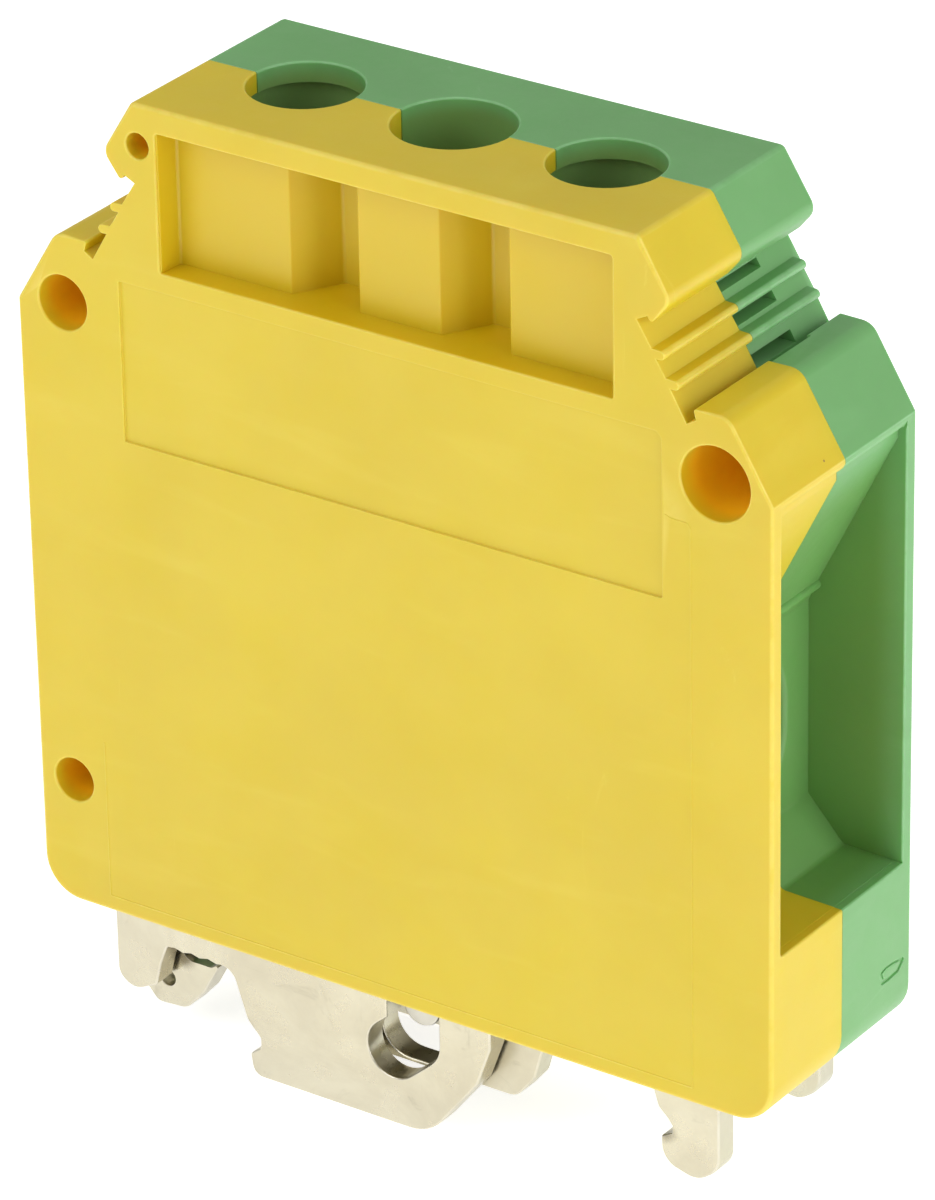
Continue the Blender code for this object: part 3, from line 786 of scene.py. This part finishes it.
def build_foot_pieces():
    """The cross pin, its rivets and the tubes between the plates."""
    low, high = span("cross_pin")
    drum_low, drum_high = DRUM_Y
    drum_r = (high.z - low.z) / 2
    profile = [(0.25, low.y + 0.06), (0.3, low.y)] + chamfered(PIN_R, low.y, drum_low + 0.01, 0.18)[:3]
    profile += [(PIN_R, drum_low)] + chamfered(drum_r, drum_low, drum_high, 0.2) + [(PIN_R, drum_high)]
    profile += chamfered(PIN_R, drum_high, high.y, 0.18)[3:] + [(0.3, high.y), (0.25, high.y - 0.06)]
    pin = turned("bright_cross_pin", profile, axis="Y", at=(0, 0, PIN_Z))
    carve(pin, [turned("t_seat", [(0.4, PIN_Z + 0.15), (1.6, PIN_Z + 0.3), (1.6, PIN_Z + 8)])])
    finish(pin, ZINC, "pin", "cross_pin")
    for x, word in zip(RIVETS, ("end_left", "mid_left", "mid_right", "end_right")):
        node = "foot_rivet_" + word
        low, high = span(node)
        domed = [(0.35, low.y), (0.75, low.y + 0.05)] + chamfered(RIVET_R, low.y + 0.1, high.y - 0.1, 0.12)
        domed += [(0.75, high.y - 0.05), (0.35, high.y)]
        rivet = turned("headed_" + node, domed, axis="Y", at=(x, 0, RIVET_Z))
        finish(rivet, ZINC, "block", node)
    for x, word in ((RIVETS[0], "left"), (RIVETS[3], "right")):
        node = "foot_spacer_" + word
        low, high = span(node)
        profile = chamfered(SPACER_R, low.y, high.y, 0.2)
        tube = turned("bevelled_" + node, profile, axis="Y", at=(x, 0, RIVET_Z))
        levels = lip(low.y, 1, 0.12) + lip(high.y, -1, 0.12)[::-1]
        carve(tube, [tool("t_spacer", circle(x, RIVET_Z, RIVET_R + 0.06, 32), levels)])
        finish(tube, ZINC, "block", node)


# ---------------------------------------------------------------- screws, cages and bar

def thread_dip(height, start, stop, turn, pitch):
    """How far a helical thread lies below its crest at a height and a share of a turn."""
    phase = (height / pitch + turn) % 1.0
    ridge = abs(2 * phase - 1)
    flank = min(max((ridge - 0.12) / 0.76, 0.0), 1.0)
    fade = min(max((height - start) / pitch, 0.0), 1.0) * min(max((stop - height) / pitch, 0.0), 1.0)
    return THREAD_DEPTH * (1 - flank) * fade


def screw(node, tip, r, thread, head, slot, pitch=1.0):
    """A slotted screw on its own body: tip is (radius, height) pairs up to the full radius, thread and
    head are heights, slot is the driver slot's width and depth."""
    low, high = span(node)
    x = (low.x + high.x) / 2
    head_r = (high.x - low.x) / 2
    profile = [(a, h, 0) for a, h in tip]
    rows = round((thread[1] - thread[0]) / pitch * 10)
    profile += [(r, thread[0] + (thread[1] - thread[0]) * k / rows, 1) for k in range(rows + 1)]
    profile += [(r, head[0] - 0.05, 0)]
    profile += [(a, h, 0) for a, h in chamfered(head_r, head[0], head[1], 0.35)]
    rings = []
    for radius, height, cut_here in profile:
        ring = []
        for k in range(SCREW_STEPS):
            dip = thread_dip(height, *thread, k / SCREW_STEPS, pitch) if cut_here else 0.0
            t = -2 * pi * k / SCREW_STEPS
            ring.append((x + (radius - dip) * cos(t), (radius - dip) * sin(t), height))
        rings.append(ring)
    made = new_object("threaded_" + node, loft(rings))
    wide, deep = slot
    groove = rectangle((x - head_r - 1, x + head_r + 1), (-wide / 2, wide / 2))
    levels = [(head[1] - deep, -0.08), (head[1] - deep + 0.08, 0)] + lip(head[1], -1, 0.12)[::-1]
    carve(made, [tool("t_driver", groove, levels, axis="Z")])
    return finish(made, ZINC, node, node, angle=40)


def build_screws():
    for word in ("left", "right"):
        node = "clamp_screw_" + word
        low, high = span(node)
        tip = [(1.6, low.z), (2.1, low.z + 0.25), (CLAMP_THREAD_R, low.z + 0.9)]
        screw(node, tip, CLAMP_THREAD_R, (low.z + 1.0, 47.5), (high.z - 3.7, high.z), (1.2, 1.6))
    low, high = span("foot_screw")
    tip = [(1.0, low.z), (1.3, low.z + 0.3), (1.3, low.z + 2.7), (FOOT_THREAD_R, low.z + 3.3)]
    screw("foot_screw", tip, FOOT_THREAD_R, (low.z + 3.4, 31.0), (high.z - 3.5, high.z), (1.0, 1.4),
          pitch=0.8)


def build_cages():
    """Two folded cages, each with an eye for the wire, a threaded neck and grip ribs across its floor."""
    for side, word in ((-1, "left"), (1, "right")):
        node = "clamp_cage_" + word
        low, high = span(node)
        outer = rounded([(low.y, low.z, 0.9), (high.y, low.z, 0.9), (high.y, high.z, 0.6),
                         (low.y, high.z, 0.6)], 0.15)
        cage = prism("folded_" + node, outer, low.x, high.x, axis="X")
        eye = rectangle(EYE_Y, EYE_Z, 0.4)
        tools = [tool("t_eye", eye, lip(low.x, 1, 0.2) + lip(high.x, -1, 0.2)[::-1], axis="X")]
        thread = [(3.35, 30.5), (3.2, 31.2), (3.2, 34.3), (3.35, 35.0)]
        tools.append(turned("t_thread", thread, at=(side * PITCH, 0, 0)))
        for k in range(5):
            x = side * PITCH + (k - 2) * 1.5
            notch = rounded([(x - 0.35, 17.8, 0), (x, 17.25, 0), (x + 0.35, 17.8, 0)], 0.0)
            tools.append(tool("t_grip", notch, [(-4.2, 0), (4.2, 0)]))
        carve(cage, tools)
        finish(cage, ZINC, "cage_" + word, node)


def build_current_path():
    """The notched bar between the cages, and the column from the bar down to the foot."""
    low, high = span("current_bar")
    plan = rounded([(low.x, low.y, 0.6, 0.2), (high.x, low.y, 0.6, 0.2), (high.x, high.y, 0.6, 0.2),
                    (low.x, high.y, 0.6, 0.2)], 0.2)
    bar = prism("tinned_bar", plan, low.z, high.z, axis="Z")
    tools = [turned("t_hole", [(2.75, 20), (2.75, 40)])]
    for side in (-1, 1):
        for k in range(6):
            x = side * PITCH + (k - 2.5) * 1.3
            notch = rounded([(x - 0.3, low.z - 0.2, 0), (x, low.z + 0.3, 0), (x + 0.3, low.z - 0.2, 0)], 0.0)
            tools.append(tool("t_grip", notch, [(-5, 0), (5, 0)]))
    carve(bar, tools)
    finish(bar, TIN, "block", "current_bar")
    low, high = span("ground_column")
    plan = rounded([(-4, -4, 0.4, 0.15), (4, -4, 0.4, 0.15), (4, 4, 0.4, 0.15), (-4, 4, 0.4, 0.15)], 0.15)
    column = prism("brass_column", plan, COLUMN_LOW, high.z, axis="Z")
    foot = rounded([(-6.2, -2.3, 0.3, 0.1), (6.2, -2.3, 0.3, 0.1), (6.2, 2.5, 0.3, 0.1),
                    (-6.2, 2.5, 0.3, 0.1)], 0.1)
    carve(column, [prism("t_tongue", foot, low.z, TONGUE_TOP, axis="Z")], "UNION")
    tools = [turned("t_bore", [(2.7, 0), (2.7, high.z - 0.5), (3.0, high.z + 0.2)])]
    tools += [tool("t_rivet", circle(x, RIVET_Z, RIVET_R + HOLE_FIT, 32), [(-8, 0), (8, 0)])
              for x in RIVETS[1:3]]
    carve(column, tools)
    finish(column, BRASS, "block", "ground_column")


# ---------------------------------------------------------------- studio

def build_floor():
    """A wide pale slab just under the foot, lit a little from within so that it reads as white."""
    rings = [[(sx * 1500, sy * 1500, z) for sx, sy in ((-1, -1), (1, -1), (1, 1), (-1, 1))]
             for z in (FLOOR_Z - 5, FLOOR_Z)]
    floor = new_object("studio_floor", loft(rings))
    g = Graph("pale_floor")
    g.link(g.mixed(g.noise(30, 3), (0.80, 0.80, 0.80), (0.82, 0.82, 0.815)), g.shader.inputs["Base Color"])
    g.set(Roughness=0.9, Specular_IOR_Level=0.1)
    g.set(Emission_Color=(1.0, 1.0, 1.0, 1.0), Emission_Strength=0.73)
    floor.data.materials.append(g.material)


def area_light(name, place, size, power):
    """A white softbox aimed at the lower middle of the block."""
    target = Vector((0, 0, 0.025))
    data = bpy.data.lights.new(name, "AREA")
    data.shape = "RECTANGLE"
    data.size, data.size_y = size
    data.energy = power
    made = bpy.data.objects.new(name, data)
    made.location = place
    made.rotation_euler = (target - Vector(place)).to_track_quat("-Z", "Y").to_euler()
    bpy.context.scene.collection.objects.link(made)


def build_studio():
    build_floor()
    world = bpy.data.worlds.new("soft_tent")
    world.use_nodes = True
    sky = world.node_tree.nodes["Background"]
    sky.inputs["Color"].default_value = (1.0, 1.0, 1.0, 1.0)
    sky.inputs["Strength"].default_value = 0.36
    bpy.context.scene.world = world
    area_light("key_right", (0.56, -0.02, 0.20), (0.45, 0.45), 1.85)
    area_light("fill_front", (-0.20, -0.48, 0.42), (0.5, 0.4), 1.5)
    area_light("soft_top", (-0.15, 0.10, 0.62), (0.5, 0.4), 0.7)
    bpy.context.scene.view_settings.view_transform = "Standard"


def build_camera():
    """Looks down on the yellow half from the right, through a long lens."""
    data = bpy.data.cameras.new("camera")
    data.sensor_width = 36.0
    data.lens = 225.4
    data.clip_start, data.clip_end = 0.01, 20.0
    camera = bpy.data.objects.new("camera", data)
    right = Vector((0.82294, 0.56787, -0.01690)).normalized()
    ahead = Vector((-0.51290, 0.72983, -0.45198)).normalized()
    up = right.cross(ahead).normalized()
    turn = Matrix((right, up, -ahead)).transposed().to_4x4()
    camera.matrix_world = Matrix.Translation(Vector((0.226362, -0.321717, 0.225439))) @ turn
    bpy.context.scene.collection.objects.link(camera)
    bpy.context.scene.camera = camera


build_camera()
build_studio()
build_front_shell()
build_rear_shell()
build_plates()
build_foot_pieces()
build_screws()
build_cages()
build_current_path()
